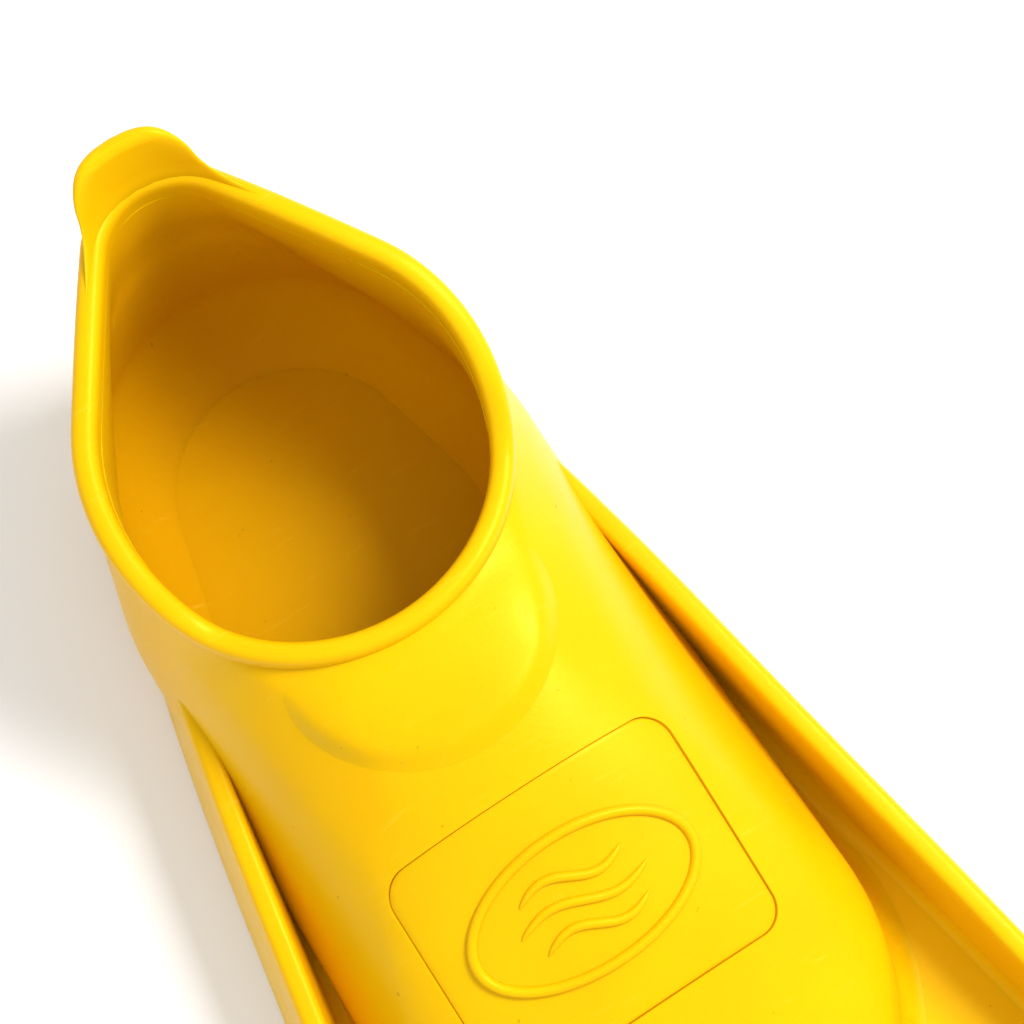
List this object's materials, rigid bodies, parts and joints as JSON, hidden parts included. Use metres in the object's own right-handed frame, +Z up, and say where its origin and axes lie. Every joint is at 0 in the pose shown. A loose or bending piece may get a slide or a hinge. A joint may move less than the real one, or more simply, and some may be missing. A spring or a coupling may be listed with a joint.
{
  "type": "swim fin",
  "caption": "Full-foot swim fin: closed rubber foot pocket with a rolled collar, heel pull tab and recessed instep panel, on a flared flexible blade with tall side rails.",
  "frame": {"origin": "bottom centre of the fin's box, on the floor that its sole and rails rest on", "axes": "+X to the wearer's right, +Y from the blade's tip to the heel, +Z up"},
  "size_m": [0.23, 0.5291, 0.1124],
  "materials": {
    "fin_rubber": "satin",
    "insole_rubber": "satin"
  },
  "bodies": {
    "foot": {"sole_plate": "fin_rubber", "sole_grip_ribs": "fin_rubber", "insole": "insole_rubber", "toe_cap": "fin_rubber", "vamp": "fin_rubber", "left_quarter": "fin_rubber", "right_quarter": "fin_rubber", "heel_cup": "fin_rubber", "collar_bead": "fin_rubber", "collar_step": "fin_rubber", "instep_panel": "fin_rubber", "emblem_ring": "fin_rubber", "emblem_waves": "fin_rubber", "left_gusset": "fin_rubber", "right_gusset": "fin_rubber", "left_rail_root": "fin_rubber", "right_rail_root": "fin_rubber", "blade_web_root": "fin_rubber", "left_rib_root": "fin_rubber", "right_rib_root": "fin_rubber"},
    "blade_mid": {"left_rail_mid": "fin_rubber", "right_rail_mid": "fin_rubber", "blade_web_mid": "fin_rubber", "left_rib_mid": "fin_rubber", "right_rib_mid": "fin_rubber"},
    "blade_tip": {"left_rail_tip": "fin_rubber", "right_rail_tip": "fin_rubber", "blade_web_tip": "fin_rubber", "left_rib_tip": "fin_rubber", "right_rib_tip": "fin_rubber", "tip_band": "fin_rubber"},
    "heel_tab": {"heel_tab": "fin_rubber"}
  },
  "joints": [
    {"name": "blade_root_flex", "type": "hinge", "parent": "foot", "child": "blade_mid", "pos_m": [0, -0.048, 0.0145], "axis": [1, 0, 0], "range_deg": [-22, 22], "stiffness_Nm_per_rad": 8},
    {"name": "blade_tip_flex", "type": "hinge", "parent": "blade_mid", "child": "blade_tip", "pos_m": [0, -0.156, 0.0105], "axis": [1, 0, 0], "range_deg": [-26.4, 26.4], "stiffness_Nm_per_rad": 3},
    {"name": "heel_tab_flex", "type": "hinge", "parent": "foot", "child": "heel_tab", "pos_m": [0, 0.2565, 0.1008], "axis": [-1, 0, 0], "range_deg": [-25, 60], "stiffness_Nm_per_rad": 0.05}
  ],
  "couplings": [
    {"joint": "blade_tip_flex", "follows": "blade_root_flex", "ratio": 1.2}
  ]
}
